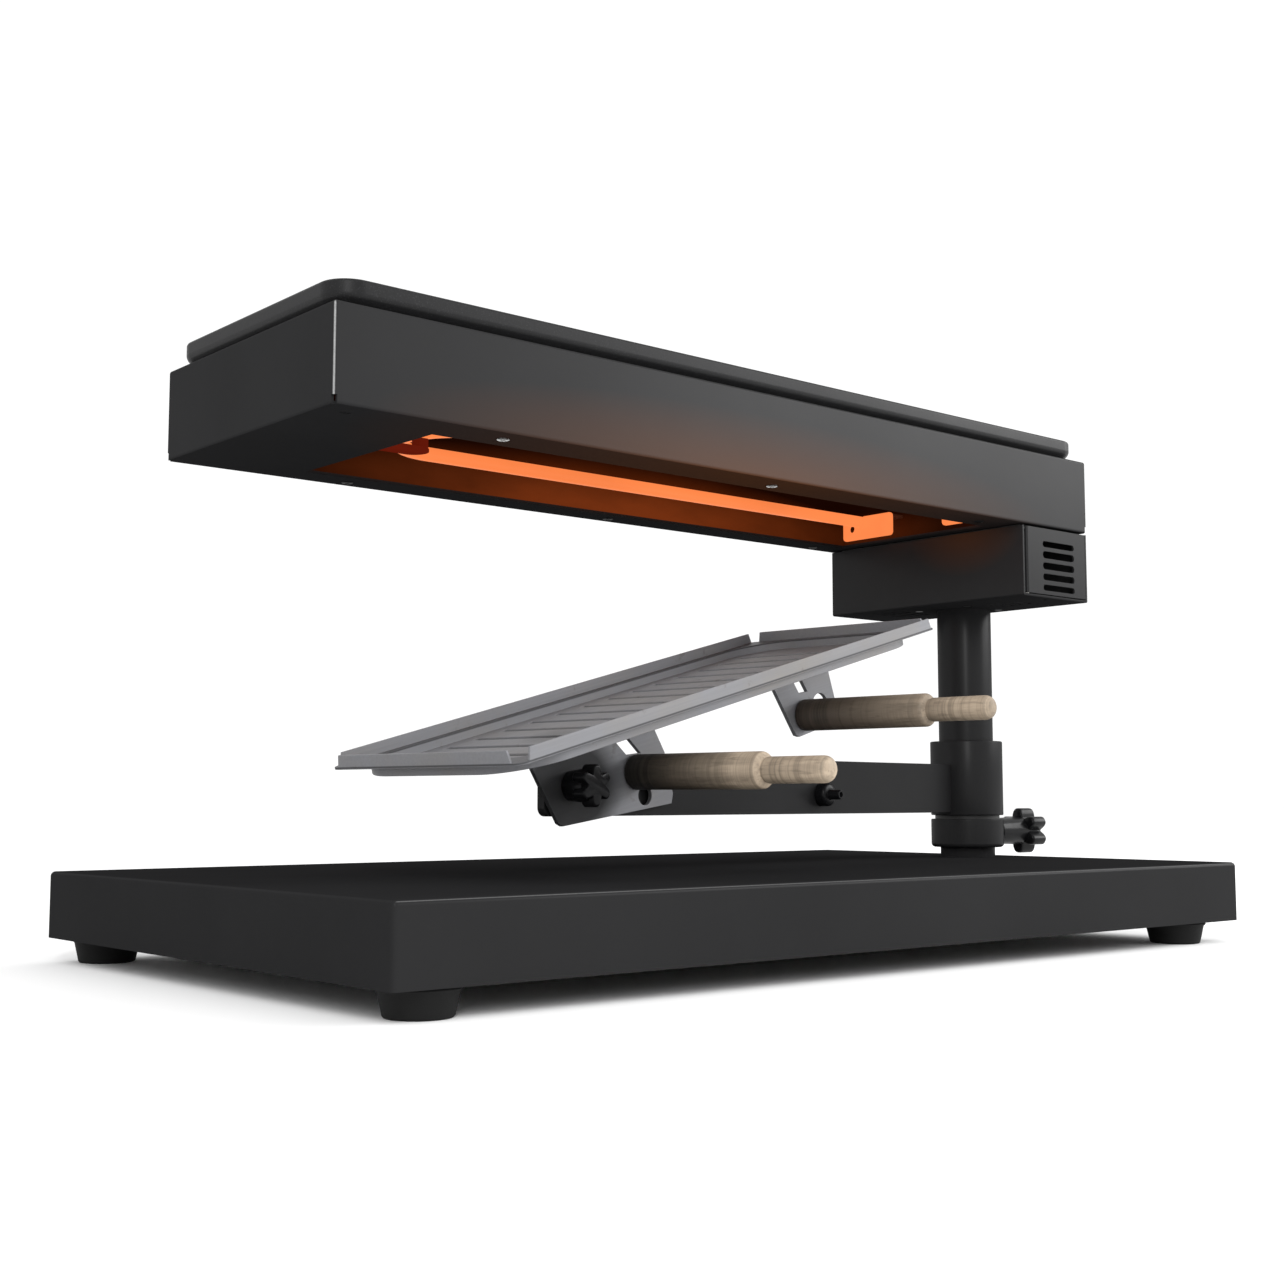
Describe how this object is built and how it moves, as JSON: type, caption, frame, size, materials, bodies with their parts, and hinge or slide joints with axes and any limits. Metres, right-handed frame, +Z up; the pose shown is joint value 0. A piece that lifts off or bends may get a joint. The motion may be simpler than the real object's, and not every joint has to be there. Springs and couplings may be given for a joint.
{
  "type": "raclette grill",
  "caption": "Tabletop raclette grill with a side column, an overhead heater under a griddle plate, and a tilting slotted cheese tray on a swinging, height-adjustable arm",
  "frame": {"origin": "middle of the whole part's plan box, on the surface that the feet stand on", "axes": "+X along the base to the column end, +Y to the back, +Z up; the open front faces -Y"},
  "size_m": [0.4896, 0.2698, 0.2495],
  "materials": {
    "black_paint": "matte black powder coat",
    "griddle_coat": "black non-stick coat",
    "foot_rubber": "moulded black rubber",
    "zinc": "zinc-plated steel",
    "stainless": "satin stainless steel",
    "reflector_steel": "heat-tinted steel",
    "element_glow": "glowing hot steel sheath",
    "knob_plastic": "glossy black phenolic",
    "black_plastic": "black nylon",
    "white_ceramic": "steatite",
    "fibre": "dark fibre board",
    "bronze": "sintered bronze",
    "wire_sleeve": "silicone and glass braid",
    "beech": "turned beech"
  },
  "bodies": {
    "stand": {"base_shell": "black_paint", "base_bottom_plate": "black_paint", "foot_front_left": "foot_rubber", "foot_front_right": "foot_rubber", "foot_back_left": "foot_rubber", "foot_back_right": "foot_rubber", "foot_screws": "zinc", "column_mount_plate": "zinc", "column_nuts": "zinc", "column_tube": "black_paint", "neck_housing": "black_paint", "neck_front_panel": "black_paint", "neck_back_panel": "black_paint", "back_panel_screws": "zinc", "neck_mount_plate": "zinc", "neck_screws": "black_paint", "neck_gasket": "fibre", "switch_frame": "black_plastic", "cable_gland": "black_plastic", "terminal_block": "white_ceramic", "lead_wires": "wire_sleeve", "head_shell": "black_paint", "head_screws": "zinc", "reflector": "reflector_steel", "heating_element": "element_glow", "element_end_plate": "element_glow", "element_front_bracket": "element_glow", "element_clip": "reflector_steel", "thermal_cutout": "white_ceramic", "griddle_spacers": "fibre"},
    "collar": {"height_collar": "black_paint", "thrust_washer": "black_plastic"},
    "collar_screw": {"collar_knob": "knob_plastic", "collar_stud": "zinc"},
    "arm": {"arm_sleeve": "black_paint", "lower_bush": "bronze", "upper_bush": "bronze", "arm_bar": "black_paint", "pivot_bolt": "zinc", "pivot_washer": "black_plastic", "stop_stud": "knob_plastic"},
    "tilt_nut": {"tilt_knob": "knob_plastic"},
    "tray": {"cheese_tray": "stainless", "left_bracket": "stainless", "right_bracket": "stainless", "left_handle": "beech", "right_handle": "beech", "handle_screws": "zinc"},
    "rocker": {"switch_rocker": "knob_plastic"},
    "griddle": {"griddle_plate": "griddle_coat"}
  },
  "joints": [
    {"name": "height_slide", "type": "slide", "parent": "stand", "child": "collar", "axis": [0, 0, 1], "range_m": [-0.004, 0.028]},
    {"name": "collar_knob_turn", "type": "hinge", "parent": "collar", "child": "collar_screw", "pos_m": [0.1908, 0.00148, 0.0504], "axis": [1, 0, 0], "range_deg": [0, 360]},
    {"name": "arm_swing", "type": "hinge", "parent": "collar", "child": "arm", "pos_m": [0.1908, 0.00148, 0.0727], "axis": [0, 0, 1], "range_deg": [-70, 80]},
    {"name": "tray_tilt", "type": "hinge", "parent": "arm", "child": "tray", "pos_m": [-0.10546, -0.03853, 0.07242], "axis": [0.1189, -0.9929, 0], "range_deg": [-14.3, 5.6]},
    {"name": "tilt_knob_turn", "type": "hinge", "parent": "arm", "child": "tilt_nut", "pos_m": [-0.10433, -0.04796, 0.07242], "axis": [0.1189, -0.9929, 0], "range_deg": [0, 360]},
    {"name": "switch_press", "type": "hinge", "parent": "stand", "child": "rocker", "pos_m": [0.2071, -0.02712, 0.1835], "axis": [0, 0, 1], "range_deg": [-16, 0]},
    {"name": "griddle_lift", "type": "slide", "parent": "stand", "child": "griddle", "axis": [0, 0, 1], "range_m": [0, 0.12]}
  ]
}
